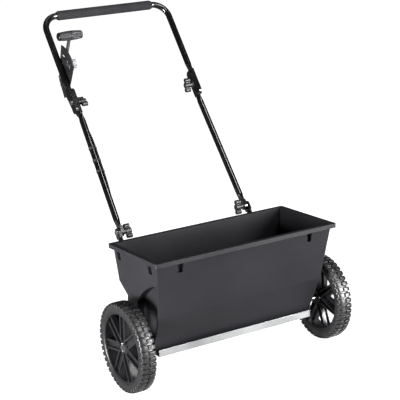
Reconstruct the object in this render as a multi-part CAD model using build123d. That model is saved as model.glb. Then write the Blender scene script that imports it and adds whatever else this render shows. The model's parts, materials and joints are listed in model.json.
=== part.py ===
from build123d import *
import math
import os

# Walk-behind drop spreader: a long plastic hopper on two wheels, a steel tray with drop holes
# under it, a shutter below the tray, a turning agitator, and a two-part folding push handle with
# a flow lever. All sizes are in millimetres. +X runs to the right along the axle, -Y is the
# front, +Z is up and the floor is z = 0. While it is drawn, the axle lies over y = 0.

# ------------------------------------------------------------------ wheels and axle
WHEEL_DIAMETER = 254.0
TYRE_WIDTH = 43.0
TYRE_DEPTH = 27.0
WHEEL_STAND_OUT = 32.0
HUB_RADIUS = 21.0
HUB_LENGTH = 29.0
SPOKE_COUNT = 7
SPOKE_RIB_SPREAD = 23.0
SPOKE_RIB = 5.5
SPOKE_WEB_SET_BACK = 7.0
LATTICE_RIB = 3.0
FIRST_SPOKE_DEG = 46.0
AXLE_DIAMETER = 12.0
RUNNING_FIT = 0.08
GAP = 0.4

# ------------------------------------------------------------------ hopper
HOPPER_LENGTH = 587.0
HOPPER_WIDTH = 273.0
RIM_HEIGHT = 385.0
RIM_LIP_DROP = 12.0
RIM_OVERHANG = 10.5
RIM_SHEET = 3.0
HOPPER_WALL = 4.0
END_DRAFT_DEG = 5.1
FLOOR_HEIGHT = 93.0
FRONT_CREASE = (-82.0, 215.0)
REAR_BREAK = (123.0, 276.0)
REAR_CREASE = (52.0, 212.0)
TROUGH_HALF_WIDTH = 24.0
WHEEL_BAY_DEPTH = 43.5
WHEEL_BAY_ARCH = [(30.0, 235.0), (-20.0, 279.0), (-140.0, 318.0)]
POCKET = (18.0, 31.0)
POCKET_DEPTHS = (13.0, 9.0)
POCKET_INSET = 65.5
POCKET_END_Y = (-77.0, 100.0)

# ------------------------------------------------------------------ tray, shutter and feed
TRAY_INSET = 40.0
TRAY_WIDTH = 90.0
TRAY_HEIGHT = 20.0
SHEET = 1.5
TRAY_LIP = 3.0
LIP_NOTCH_X = (-129.0, 97.0)
LIP_NOTCH_WIDTH = 7.0
FLANGE_THICKNESS = 5.0
DROP_HOLE_COUNT = 15
DROP_HOLE_MARGIN = 13.5
DROP_HOLE = (16.0, 8.0)
SHUTTER_INSET = 3.5
SHUTTER_WIDTH = 44.0
STRAP_WIDTH = 12.0
ARM_X = -188.0
ARM_REACH = 62.0
CABLE_END_HEIGHT = 104.0
ANCHOR_Y = 106.0
AGITATOR_RADIUS = 24.0
TRAY_SCREW_RADIUS = 2.0
BUSH_SPIGOT = 10.0
COTTER_RADIUS = 1.5
DRIVE_PIN_RADIUS = 2.5

# ------------------------------------------------------------------ frame and handle
TUBE_DIAMETER = 19.0
TUBE_WALL = 1.5
FLAT_THICKNESS = 9.0
FLAT_WIDTH = 26.0
FLAT_TAPER = 22.0
HANDLE_LEAN_DEG = 35.2
BASE_JOINT_Y = 214.4
BASE_JOINT_HEIGHT = 385.0
BASE_JOINT_X = 215.3
MID_JOINT_UP = 424.0
UPPER_TIP_DOWN = 36.0
LOWER_TIP_UP = 46.0
TIP_CLEARANCE = 4.0
HANDLE_TOP_UP = 719.0
HANDLE_HALF_WIDTH = 212.5
HANDLE_BEND = 48.0
HANDLE_GRIP_LENGTH = 328.0
GRIP_RADIUS = 14.5
BOLT_DIAMETER = 8.0
WASHER_THICKNESS = 1.5
JOINT_WASHER_RADIUS = 10.0
WING_SPAN = 44.0
WING_THICKNESS = 14.0
KNOB_BOSS = 8.0
KNOB_HEAD = 17.0
FRAME_FOOT_DOWN = 272.0
FRAME_BOLT_HEIGHT = 284.0
LEG_DIAMETER = 12.0
LEG_JOINT_DOWN = 80.0
LEG_FOOT_Y = 236.0
LEG_BEND = 34.0
FRAME_BOLT_RADIUS = 3.0
SADDLE_BACK = 19.0

# ------------------------------------------------------------------ flow lever and cable
PLATE_THICKNESS = 3.0
LEVER_PIVOT = (31.0, 530.0)
LEVER_ANGLE_DEG = 64.2
LEVER_SWING_DEG = 8.0
LEVER_LENGTH = 146.0
LEVER_TAIL = 30.0
LEVER_WIDTH = 14.0
LEVER_THICKNESS = 4.0
LEVER_GRIP_LENGTH = 78.0
LEVER_GRIP_RADIUS = 14.5
QUADRANT_RADIUS = 97.0
STOP_RADIUS = 69.0
STOP_ANGLE_DEG = 88.0
STOP_SLOT_WIDTH = 7.0
STOP_KNOB_RADIUS = 14.0
PLATE_SCREW_UP = (512.0, 560.0)
PLATE_SCREW_RADIUS = 2.5
TAB_UP = 474.0
CABLE_DIAMETER = 5.0
WIRE_DIAMETER = 1.6
CABLE_SPLIT_UP = 215.0
CABLE_STAND_OFF = 0.3
CLIPS_UP = (270.0, 230.0, 195.0)
CLIP_LENGTH = 6.0
CLIP_THICKNESS = 1.0

# ------------------------------------------------------------------ values that follow
TRACK = HOPPER_LENGTH + 2 * WHEEL_STAND_OUT
WHEEL_BAY_X = HOPPER_LENGTH / 2 - WHEEL_BAY_DEPTH
POCKET_FRONT_X = HOPPER_LENGTH / 2 - POCKET_INSET
TRAY_LENGTH = HOPPER_LENGTH - 2 * TRAY_INSET
DROP_HOLE_PITCH = (TRAY_LENGTH - 2 * DROP_HOLE_MARGIN) / DROP_HOLE_COUNT
SHUTTER_LENGTH = TRAY_LENGTH - 2 * SHUTTER_INSET
WHEEL_RADIUS = WHEEL_DIAMETER / 2
AXLE_RADIUS = AXLE_DIAMETER / 2
AXLE_HEIGHT = WHEEL_RADIUS
RIM_RADIUS = WHEEL_RADIUS - TYRE_DEPTH
HUB_OUTER_X = TRACK / 2 + HUB_LENGTH / 2 - 4.0
HUB_INNER_X = HUB_OUTER_X - HUB_LENGTH
TUBE_RADIUS = TUBE_DIAMETER / 2
LEG_RADIUS = LEG_DIAMETER / 2
BOLT_RADIUS = BOLT_DIAMETER / 2
CABLE_RADIUS = CABLE_DIAMETER / 2
LEAN = math.radians(HANDLE_LEAN_DEG)
BODY_HALF_LENGTH = HOPPER_LENGTH / 2 - RIM_OVERHANG
BODY_HALF_WIDTH = HOPPER_WIDTH / 2 - RIM_OVERHANG
TRAY_BOTTOM = FLOOR_HEIGHT - SHEET
SHUTTER_TOP = TRAY_BOTTOM - GAP
SHUTTER_TRAVEL = LEVER_TAIL * math.radians(LEVER_SWING_DEG)
FRAME_X = BASE_JOINT_X + FLAT_THICKNESS / 2
LOWER_BASE_X = BASE_JOINT_X - FLAT_THICKNESS / 2
MID_JOINT_X = HANDLE_HALF_WIDTH - FLAT_THICKNESS / 2
LOWER_MID_X = MID_JOINT_X - FLAT_THICKNESS / 2
LEG_X = FRAME_X - TUBE_RADIUS - LEG_RADIUS
PLATE_X = -(HANDLE_HALF_WIDTH - TUBE_RADIUS)
PLATE_FACE_X = PLATE_X + PLATE_THICKNESS
LEVER_X = PLATE_FACE_X + GAP + LEVER_THICKNESS / 2
WIRE_X = PLATE_FACE_X + 6.5
WIRE_DROP = LEVER_PIVOT[0] + LEVER_TAIL * math.sin(math.radians(LEVER_ANGLE_DEG))
COTTER_X = HUB_OUTER_X + 5.0
DRIVE_PIN_X = TRACK / 2 - 2.0
TOP_BAR_Y = BASE_JOINT_Y + HANDLE_TOP_UP * math.sin(LEAN)
SHIFT_Y = -(TOP_BAR_Y + GRIP_RADIUS - HOPPER_WIDTH / 2) / 2

# Handle frame: X across, Y square to the tubes towards the back, Z up along the tubes.
HANDLE = Plane(
    origin=(0, BASE_JOINT_Y, BASE_JOINT_HEIGHT),
    x_dir=(1, 0, 0),
    z_dir=(0, math.sin(LEAN), math.cos(LEAN)),
)


# ------------------------------------------------------------------ small helpers
def on_handle(shape):
    """Moves a shape drawn in the handle frame to its place on the machine."""
    return HANDLE.location * shape


def rod(start, end, radius):
    """Round bar between two points."""
    path = Line(start, end)
    return extrude(Plane(path @ 0, z_dir=path % 0) * Circle(radius), amount=path.length)


def x_rod(x_low, x_high, y, z, radius):
    """Round bar along X."""
    return rod((x_low, y, z), (x_high, y, z), radius)


def block(x_range, y_range, z_range):
    """Box between two limits on each axis."""
    size = [high - low for low, high in (x_range, y_range, z_range)]
    middle = [(high + low) / 2 for low, high in (x_range, y_range, z_range)]
    return Pos(*middle) * Box(*size)


def yz_prism(outline, x_low, x_high):
    """Prism along X over a sketch whose axes are y and z."""
    return extrude(Plane.YZ.offset(x_low) * outline, amount=x_high - x_low)


def xz_prism(outline, y_low, y_high):
    """Prism along Y over a sketch whose axes are x and z."""
    return extrude(Plane.XZ.offset(-y_high) * outline, amount=y_high - y_low)


def both_sides(shape):
    """A shape and its mirror image in the middle plane."""
    return shape + mirror(shape, about=Plane.YZ)


def hexagon_x(x_low, x_high, y, z, across_flats):
    """Hexagon bolt head or nut along X."""
    outline = Pos(y, z) * RegularPolygon(across_flats / 2, 6, major_radius=False)
    return yz_prism(outline, x_low, x_high)


def smooth_path(points):
    """Straight runs joined by tangent arcs, each as large as its two shorter runs allow."""
    corners = [Vector(*point) for point in points]
    edges = []
    radii = []
    last = corners[0]
    for before, corner, after in zip(corners, corners[1:], corners[2:]):
        back = (before - corner).normalized()
        ahead = (after - corner).normalized()
        shorter = min((before - corner).length, (after - corner).length)
        half_turn = (math.pi - back.get_angle(ahead) * math.pi / 180) / 2
        setback = 0.45 * shorter
        radius = setback / math.tan(half_turn)
        start = corner + back * setback
        end = corner + ahead * setback
        inward = (back + ahead).normalized()
        middle = corner + inward * (radius / math.cos(half_turn) - radius)
        edges.append(Line(last, start))
        edges.append(ThreePointArc(start, middle, end))
        radii.append(round(radius, 1))
        last = end
    edges.append(Line(last, corners[-1]))
    print("cable arc radii", radii)
    return Wire([edge.edge() if hasattr(edge, "edge") else edge for edge in edges])


# ------------------------------------------------------------------ hopper
def front_y(z):
    """Outer face of the front wall at height z, above its crease."""
    slope = (BODY_HALF_WIDTH + FRONT_CREASE[0]) / (RIM_HEIGHT - FRONT_CREASE[1])
    return -BODY_HALF_WIDTH + (RIM_HEIGHT - z) * slope


def rear_y(z):
    """Outer face of the rear wall at height z, above its break."""
    slope = (BODY_HALF_WIDTH - REAR_BREAK[0]) / (RIM_HEIGHT - REAR_BREAK[1])
    return BODY_HALF_WIDTH - (RIM_HEIGHT - z) * slope


def end_x(z):
    """Outer face of an end wall at height z."""
    return BODY_HALF_LENGTH - (RIM_HEIGHT - z) * math.tan(math.radians(END_DRAFT_DEG))


def tub_section(inset, top):
    """Cross-section of the tub, moved inwards by inset and open-ended at height top."""
    outline = Polygon(
        (front_y(top), top),
        FRONT_CREASE,
        (-TROUGH_HALF_WIDTH, FLOOR_HEIGHT),
        (TROUGH_HALF_WIDTH, FLOOR_HEIGHT),
        REAR_CREASE,
        REAR_BREAK,
        (rear_y(top), top),
        align=None,
    )
    return offset(outline, -inset, kind=Kind.INTERSECTION) if inset else outline


def tub(inset):
    """Tub body moved inwards by inset, running on above the rim."""
    top = RIM_HEIGHT + 30.0
    across = yz_prism(tub_section(inset, top), -HOPPER_LENGTH, HOPPER_LENGTH)
    outline = Polygon(
        (-end_x(top), top),
        (-end_x(FLOOR_HEIGHT), FLOOR_HEIGHT),
        (end_x(FLOOR_HEIGHT), FLOOR_HEIGHT),
        (end_x(top), top),
        align=None,
    )
    if inset:
        outline = offset(outline, -inset, kind=Kind.INTERSECTION)
    return across & xz_prism(outline, -HOPPER_WIDTH, HOPPER_WIDTH)


def wheel_bays(spread):
    """Space set into both ends behind the wheels, grown by spread."""
    rear, middle, front = WHEEL_BAY_ARCH
    edge = [
        ThreePointArc(rear, middle, front),
        Line(front, (front[0], 0)),
        Line((front[0], 0), (rear[0], 0)),
        Line((rear[0], 0), rear),
    ]
    outline = make_face(edge)
    if spread:
        outline = offset(outline, spread, kind=Kind.INTERSECTION)
    return both_sides(yz_prism(outline, WHEEL_BAY_X - spread, HOPPER_LENGTH))


def pockets(spread):
    """Tapered pockets under the rim, two on the front wall and two on the left end."""
    width, height = POCKET
    deep, shallow = POCKET_DEPTHS
    top = RIM_HEIGHT - RIM_LIP_DROP
    low = top - height
    far = HOPPER_LENGTH
    front = Polygon(
        (-far, top), (front_y(top) + deep, top), (front_y(low) + shallow, low), (-far, low), align=None
    )
    end = Polygon((far, top), (end_x(top) - deep, top), (end_x(low) - shallow, low), (far, low), align=None)
    if spread:
        front = offset(front, spread, kind=Kind.INTERSECTION)
        end = offset(end, spread, kind=Kind.INTERSECTION)
    half = width / 2 + spread
    cuts = both_sides(yz_prism(front, POCKET_FRONT_X - half, POCKET_FRONT_X + half))
    for y in POCKET_END_Y:
        cuts += mirror(xz_prism(end, y - half, y + half), about=Plane.YZ)
    return cuts


def rim():
    """Flange round the mouth with a turned-down lip."""
    top = block(
        (-HOPPER_LENGTH / 2, HOPPER_LENGTH / 2),
        (-HOPPER_WIDTH / 2, HOPPER_WIDTH / 2),
        (RIM_HEIGHT - RIM_LIP_DROP, RIM_HEIGHT),
    )
    top = fillet(top.edges().filter_by(Axis.Z), 6.0)
    under = block(
        (-HOPPER_LENGTH / 2 + RIM_SHEET, HOPPER_LENGTH / 2 - RIM_SHEET),
        (-HOPPER_WIDTH / 2 + RIM_SHEET, HOPPER_WIDTH / 2 - RIM_SHEET),
        (RIM_HEIGHT - 2 * RIM_LIP_DROP, RIM_HEIGHT - RIM_SHEET),
    )
    return top - fillet(under.edges().filter_by(Axis.Z), 3.0)


def frame_tube_axis(side):
    """Centre line of a frame tube in the machine's frame, from the base joint to its foot."""
    return (
        HANDLE.from_local_coords((side * FRAME_X, 0, 0)),
        HANDLE.from_local_coords((side * FRAME_X, 0, -FRAME_FOOT_DOWN)),
    )


def saddle_pads():
    """Pads on the rear wall that the frame tubes lie in."""
    half = 14.0
    pad = block(
        (FRAME_X - half, FRAME_X + half),
        (rear_y(FRAME_BOLT_HEIGHT) - 1.0, frame_y(FRAME_BOLT_HEIGHT)),
        (FRAME_BOLT_HEIGHT - 11.0, FRAME_BOLT_HEIGHT + 11.0),
    )
    return both_sides(pad - rod(*frame_tube_axis(1), TUBE_RADIUS))


def frame_y(z):
    """The frame tube's centre line at height z."""
    return BASE_JOINT_Y + (z - BASE_JOINT_HEIGHT) * math.tan(LEAN)


def hopper():
    """Moulded tub with its rim, pockets, wheel bays, bottom flange and bearing holes."""
    keep = block((-HOPPER_LENGTH, HOPPER_LENGTH), (-HOPPER_LENGTH, HOPPER_LENGTH), (0, RIM_HEIGHT))
    shell = (tub(0) & keep) + rim() + saddle_pads()
    cavity = tub(HOPPER_WALL) - pockets(HOPPER_WALL) - wheel_bays(HOPPER_WALL)
    front_skin = yz_prism(tub_section(HOPPER_WALL, RIM_HEIGHT), -HOPPER_LENGTH, HOPPER_LENGTH)
    shell = shell - cavity - pockets(0) - (wheel_bays(0) & front_skin)
    shell += block(
        (-TRAY_LENGTH / 2, TRAY_LENGTH / 2),
        (-TRAY_WIDTH / 2 + SHEET, TRAY_WIDTH / 2 - SHEET),
        (FLOOR_HEIGHT, FLOOR_HEIGHT + FLANGE_THICKNESS),
    )
    mouth = TROUGH_HALF_WIDTH - HOPPER_WALL - 2.0
    shell -= block((-242.0, 242.0), (-mouth, mouth), (0, AXLE_HEIGHT))
    shell -= x_rod(-HOPPER_LENGTH, HOPPER_LENGTH, 0, AXLE_HEIGHT, BUSH_SPIGOT)
    for x, y in tray_screw_places():
        shell -= rod((x, y, 0), (x, y, FLOOR_HEIGHT + FLANGE_THICKNESS), TRAY_SCREW_RADIUS)
    for side in (-1, 1):
        x = side * FRAME_X
        shell -= rod((x, 100, FRAME_BOLT_HEIGHT), (x, 200, FRAME_BOLT_HEIGHT), FRAME_BOLT_RADIUS)
    return shell


# ------------------------------------------------------------------ tray and shutter


def tray_screw_places():
    """Places of the screws that hold the tray to the hopper's flange."""
    return [(x, y) for x in (-208.0, -80.0, 80.0, 208.0) for y in (-37.5, 37.5)]


def drop_holes(y, low, high):
    """The row of drop holes as a cutting tool."""
    holes = Part()
    for index in range(DROP_HOLE_COUNT):
        x = (index - (DROP_HOLE_COUNT - 1) / 2) * DROP_HOLE_PITCH
        holes += Pos(x, y, (low + high) / 2) * Box(*DROP_HOLE, high - low)
    return holes


def bottom_tray():
    """Folded steel channel that closes the hopper's bottom, with a row of drop holes."""
    half = TRAY_WIDTH / 2
    top = TRAY_BOTTOM + TRAY_HEIGHT
    outline = Polygon(
        (-half - TRAY_LIP, top),
        (-half - TRAY_LIP, top - SHEET),
        (-half, top - SHEET),
        (-half, TRAY_BOTTOM),
        (half, TRAY_BOTTOM),
        (half, top),
        (half - SHEET, top),
        (half - SHEET, FLOOR_HEIGHT),
        (-half + SHEET, FLOOR_HEIGHT),
        (-half + SHEET, top),
        align=None,
    )
    tray = yz_prism(outline, -TRAY_LENGTH / 2, TRAY_LENGTH / 2)
    tray -= drop_holes(0, TRAY_BOTTOM - 1, FLOOR_HEIGHT + 1)
    for x in LIP_NOTCH_X:
        notch = (x - LIP_NOTCH_WIDTH / 2, x + LIP_NOTCH_WIDTH / 2)
        tray -= block(notch, (-half - TRAY_LIP - 1, -half - GAP), (top - SHEET - 1, top + 1))
    for x, y in tray_screw_places():
        tray -= rod((x, y, TRAY_BOTTOM - 1), (x, y, FLOOR_HEIGHT + 1), TRAY_SCREW_RADIUS)
    return tray


def tray_screws():
    """Pan-head screws up through the tray into the hopper's flange."""
    screws = Part()
    for x, y in tray_screw_places():
        shank = rod((x, y, TRAY_BOTTOM), (x, y, FLOOR_HEIGHT + FLANGE_THICKNESS), TRAY_SCREW_RADIUS)
        head = rod((x, y, TRAY_BOTTOM - 2.4), (x, y, TRAY_BOTTOM), 3.6)
        screws += shank + head
    return screws


def shutter_straps():
    """Bridges under the tray that carry the sliding shutter."""
    inner = SHUTTER_WIDTH / 2 + SHUTTER_TRAVEL + 1.0
    outer = inner + 4.0
    low = SHUTTER_TOP - SHEET - GAP
    straps = Part()
    for x in (-240.0, -112.0, 112.0, 240.0):
        half = STRAP_WIDTH / 2
        strap = block((x - half, x + half), (-outer, outer), (low - SHEET, TRAY_BOTTOM))
        straps += strap - block((x - half, x + half), (-inner, inner), (low, TRAY_BOTTOM))
    return straps


def shutter():
    """Flat plate whose holes come under the tray's holes when it is pulled back."""
    low = SHUTTER_TOP - SHEET
    half = SHUTTER_WIDTH / 2
    plate = block((-SHUTTER_LENGTH / 2, SHUTTER_LENGTH / 2), (-half, half), (low, SHUTTER_TOP))
    plate -= drop_holes(-SHUTTER_TRAVEL, low - 1, SHUTTER_TOP + 1)
    plate += block((ARM_X - 10, ARM_X + 10), (half - 1, ARM_REACH), (low, SHUTTER_TOP))
    plate += block((ARM_X - 10, ARM_X + 10), (ARM_REACH - SHEET, ARM_REACH), (low, CABLE_END_HEIGHT + 9))
    return plate - rod((ARM_X, 50, CABLE_END_HEIGHT), (ARM_X, 80, CABLE_END_HEIGHT), WIRE_DIAMETER / 2)


def shutter_spring():
    """Spring between the shutter's arm and the cable anchor, pushing the shutter shut."""
    coil_radius = 4.5
    wire = 0.6
    start = ARM_REACH + wire + 0.2
    length = ANCHOR_Y - wire - 0.2 - start
    helix = Helix(pitch=length / 8, height=length, radius=coil_radius)
    section = Plane(helix @ 0, z_dir=helix % 0) * Circle(wire)
    coil = sweep(section, path=helix, is_frenet=True)
    return Pos(ARM_X, start, CABLE_END_HEIGHT) * Rot(-90, 0, 0) * coil


def cable_anchor():
    """Bracket on the tray's rear flange that holds the lower end of the cable."""
    low = FLOOR_HEIGHT
    side = (ARM_X + 15, ARM_X + 29)
    flange_y = TRAY_WIDTH / 2
    bracket = block(side, (flange_y, flange_y + 2), (low, low + 17))
    bracket += block(side, (flange_y, ANCHOR_Y + 2), (low, low + 2))
    bracket += block((ARM_X - 12, side[1]), (ANCHOR_Y, ANCHOR_Y + 2), (low, CABLE_END_HEIGHT + 11))
    hole = rod((ARM_X, ANCHOR_Y - 1, CABLE_END_HEIGHT), (ARM_X, ANCHOR_Y + 3, CABLE_END_HEIGHT), 2.0)
    return bracket - hole


def cable_ferrule():
    """Metal end of the cable's outer sheath, seated on the anchor, with the wire's bore."""
    start = ANCHOR_Y + 2
    ferrule = rod((ARM_X, start, CABLE_END_HEIGHT), (ARM_X, start + 14, CABLE_END_HEIGHT), 4.0)
    ferrule += rod((ARM_X, start, CABLE_END_HEIGHT), (ARM_X, start + 3, CABLE_END_HEIGHT), 5.5)
    return ferrule - rod((ARM_X, start - 1, CABLE_END_HEIGHT), (ARM_X, start + 11, CABLE_END_HEIGHT), 1.3)


def shutter_wire():
    """Inner wire from the shutter's arm into the ferrule, with its stop in front of the arm."""
    front = ARM_REACH - SHEET
    z = CABLE_END_HEIGHT
    wire = rod((ARM_X, front - 3, z), (ARM_X, ANCHOR_Y + 7, z), WIRE_DIAMETER / 2)
    return wire + rod((ARM_X, front - 5, z), (ARM_X, front, z), 2.5)


# ------------------------------------------------------------------ axle, agitator and wheels
def axle():
    """Steel axle through both wheels and the hopper."""
    half = HUB_OUTER_X + 8.0
    bar = x_rod(-half, half, 0, AXLE_HEIGHT, AXLE_RADIUS)
    for side in (-1, 1):
        x = side * COTTER_X
        bar -= rod((x, 0, AXLE_HEIGHT - 10), (x, 0, AXLE_HEIGHT + 10), COTTER_RADIUS)
    x = DRIVE_PIN_X
    return bar - rod((x, 0, AXLE_HEIGHT - 10), (x, 0, AXLE_HEIGHT + 10), DRIVE_PIN_RADIUS)


def agitator():
    """Sleeve on the axle with rows of short paddles that keep the load moving."""
    half = WHEEL_BAY_X - 14.0
    sleeve = x_rod(-half, half, 0, AXLE_HEIGHT, 9.0)
    count = 14
    for index in range(count):
        x = (index - (count - 1) / 2) * DROP_HOLE_PITCH
        paddle = Pos(x, 0, 0) * Box(5.0, 2 * AGITATOR_RADIUS, 6.0)
        sleeve += Pos(0, 0, AXLE_HEIGHT) * Rot(90.0 * (index % 2) + 45.0, 0, 0) * paddle
    return sleeve - x_rod(-half, half, 0, AXLE_HEIGHT, AXLE_RADIUS)


def axle_bush(side):
    """Flanged nylon bush in an end wall."""
    inner = WHEEL_BAY_X - HOPPER_WALL
    bush = x_rod(inner, WHEEL_BAY_X, 0, AXLE_HEIGHT, BUSH_SPIGOT)
    bush += x_rod(WHEEL_BAY_X, WHEEL_BAY_X + 3, 0, AXLE_HEIGHT, 15.0)
    bush -= x_rod(inner - 1, WHEEL_BAY_X + 4, 0, AXLE_HEIGHT, AXLE_RADIUS + RUNNING_FIT)
    return bush if side > 0 else mirror(bush, about=Plane.YZ)


def axle_spacers():
    """Tubes on the axle between the bushes and the hubs."""
    start = WHEEL_BAY_X + 3 + GAP
    end = HUB_INNER_X - GAP
    tube = x_rod(start, end, 0, AXLE_HEIGHT, 9.0) - x_rod(start - 1, end + 1, 0, AXLE_HEIGHT, AXLE_RADIUS)
    return both_sides(tube)


def axle_washers():
    """Washers outside the hubs."""
    start = HUB_OUTER_X + GAP
    washer = x_rod(start, start + 2, 0, AXLE_HEIGHT, 12.0)
    washer -= x_rod(start - 1, start + 3, 0, AXLE_HEIGHT, AXLE_RADIUS)
    return both_sides(washer)


def cotter_pins():
    """Pins through the axle's ends that keep the wheels on."""
    pin = rod((COTTER_X, 0, AXLE_HEIGHT - 11), (COTTER_X, 0, AXLE_HEIGHT + 11), COTTER_RADIUS)
    eye = Pos(COTTER_X, 0, AXLE_HEIGHT + 13) * Rot(0, 90, 0) * Torus(3.0, 1.2)
    return both_sides(pin + eye)


def drive_pin():
    """Pin through the right hub and the axle, so that this wheel turns the agitator."""
    reach = HUB_RADIUS - 2.0
    low = AXLE_HEIGHT - reach
    return rod((DRIVE_PIN_X, 0, low), (DRIVE_PIN_X, 0, low + 2 * reach), DRIVE_PIN_RADIUS)


def wheel_plane_rod(x_low, x_high, radius):
    """Disc or bar on the wheel's axis, placed from the middle of the track."""
    return x_rod(x_low, x_high, 0, AXLE_HEIGHT, radius)


def spoke_pair():
    """Two parallel ribs and the web between them, standing straight up from the hub."""
    outer = TRACK / 2 + 15.0
    inner = TRACK / 2 + 1.0
    low = HUB_RADIUS - 5.0
    high = RIM_RADIUS - 4.0
    pair = Part()
    for side in (-1, 1):
        y = side * SPOKE_RIB_SPREAD / 2
        pair += block((inner, outer), (y - SPOKE_RIB / 2, y + SPOKE_RIB / 2), (low, high))
    web_y = SPOKE_RIB_SPREAD / 2
    web_x = outer - SPOKE_WEB_SET_BACK
    pair += block((web_x - 3, web_x), (-web_y, web_y), (low, high))
    return pair


def lattice_pair():
    """Two thin crossing ribs on the wheel's inner side."""
    inner = TRACK / 2 - 15.0
    outer = TRACK / 2 + 2.0
    length = RIM_RADIUS - HUB_RADIUS
    pair = Part()
    for lean in (-28.0, 28.0):
        rib = block((inner, outer), (-LATTICE_RIB / 2, LATTICE_RIB / 2), (0, length + 6.0))
        pair += Pos(0, 0, HUB_RADIUS - 3.0) * Rot(lean, 0, 0) * rib
    return pair


def wheel_rim(side):
    """Plastic wheel: hub, twin-rib spokes, crossing ribs behind them and the rim barrel."""
    middle = TRACK / 2
    half = TYRE_WIDTH / 2 - 3.0
    spokes = Part()
    for index in range(SPOKE_COUNT):
        angle = 360.0 * index / SPOKE_COUNT
        spokes += Rot(-FIRST_SPOKE_DEG - angle, 0, 0) * spoke_pair()
        spokes += Rot(-FIRST_SPOKE_DEG - angle - 180.0 / SPOKE_COUNT, 0, 0) * lattice_pair()
    inside = x_rod(middle - half, middle + half, 0, 0, RIM_RADIUS - 2.0)
    spokes = Pos(0, 0, AXLE_HEIGHT) * (spokes & inside)
    barrel = wheel_plane_rod(middle - half, middle + half, RIM_RADIUS)
    barrel -= wheel_plane_rod(middle - half, middle + half, RIM_RADIUS - 5.0)
    hub = wheel_plane_rod(HUB_INNER_X, HUB_OUTER_X, HUB_RADIUS)
    wheel = barrel + hub + spokes
    free = 0.0 if side > 0 else RUNNING_FIT
    wheel -= wheel_plane_rod(middle - 60, middle + 60, AXLE_RADIUS + free)
    if side > 0:
        return wheel - drive_pin()
    return mirror(wheel, about=Plane.YZ)


def tyre(side):
    """Rubber tyre, a ring with rounded shoulders seated on the rim barrel."""
    half = TYRE_WIDTH / 2
    outline = Pos(0, (WHEEL_RADIUS + RIM_RADIUS) / 2) * RectangleRounded(TYRE_WIDTH, TYRE_DEPTH, 7.0)
    seat = Pos(0, RIM_RADIUS + 3.5) * Rectangle(2 * half - 6.0, 7.0)
    ring = revolve(Plane.XZ * (outline + seat), axis=Axis.X)
    return Pos(side * TRACK / 2, 0, AXLE_HEIGHT) * ring


# ------------------------------------------------------------------ tube ends and fasteners
def flat_end(x, s_tip, s_shoulder):
    """Squeezed tube end with a rounded tip, drawn in the handle frame."""
    up = 1.0 if s_shoulder > s_tip else -1.0
    centre = s_tip + up * FLAT_WIDTH / 2
    half = FLAT_THICKNESS / 2
    plate = block(
        (x - half, x + half),
        (-FLAT_WIDTH / 2, FLAT_WIDTH / 2),
        (min(centre, s_shoulder), max(centre, s_shoulder)),
    )
    return plate + x_rod(x - half, x + half, 0, centre, FLAT_WIDTH / 2)


def tube_taper(x_flat, s_flat, x_round, s_round, tilt_deg=0.0):
    """Change from a squeezed end to the round tube, whose axis can be tilted sideways."""
    flat = Pos(x_flat, 0, s_flat) * Ellipse(FLAT_THICKNESS / 2, FLAT_WIDTH / 2)
    full = Pos(x_round, 0, s_round) * Rot(0, tilt_deg, 0) * Circle(TUBE_RADIUS)
    return loft([flat, full]) if s_round > s_flat else loft([full, flat])


def hollow_tube(start, end):
    """Round tube with its bore stopped short of both ends."""
    low = Vector(*start)
    high = Vector(*end)
    step = (high - low).normalized() * 3.0
    return rod(low, high, TUBE_RADIUS) - rod(low + step, high - step, TUBE_RADIUS - TUBE_WALL)


def frame_tube(side):
    """Straight tube from the base joint down the hopper's rear to the tray's ear."""
    shoulder = FLAT_WIDTH / 2 + TIP_CLEARANCE
    x = FRAME_X
    foot = -FRAME_FOOT_DOWN
    tube = flat_end(x, FLAT_WIDTH / 2, -shoulder)
    tube += tube_taper(x, -shoulder, x, -shoulder - FLAT_TAPER)
    tube += hollow_tube((x, 0, foot + shoulder + FLAT_TAPER), (x, 0, -shoulder - FLAT_TAPER))
    tube += tube_taper(x, foot + shoulder, x, foot + shoulder + FLAT_TAPER)
    tube += flat_end(x, foot - FLAT_WIDTH / 2, foot + shoulder)
    tube -= x_rod(x - 20, x + 20, 0, 0, BOLT_RADIUS)
    tube -= x_rod(x - 20, x + 20, 0, foot, FRAME_BOLT_RADIUS)
    tube -= x_rod(x - 20, x + 20, 0, -LEG_JOINT_DOWN, FRAME_BOLT_RADIUS)
    tube = on_handle(tube)
    tube -= rod((x, 100, FRAME_BOLT_HEIGHT), (x, 200, FRAME_BOLT_HEIGHT), FRAME_BOLT_RADIUS)
    return tube if side > 0 else mirror(tube, about=Plane.YZ)


def lower_tube_axis():
    """Ends of the round part's axis of the right lower tube."""
    low = FLAT_WIDTH / 2 + TIP_CLEARANCE + FLAT_TAPER
    high = MID_JOINT_UP - UPPER_TIP_DOWN - TIP_CLEARANCE - FLAT_TAPER
    return (LOWER_BASE_X, 0, low), (LOWER_MID_X, 0, high)


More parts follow.
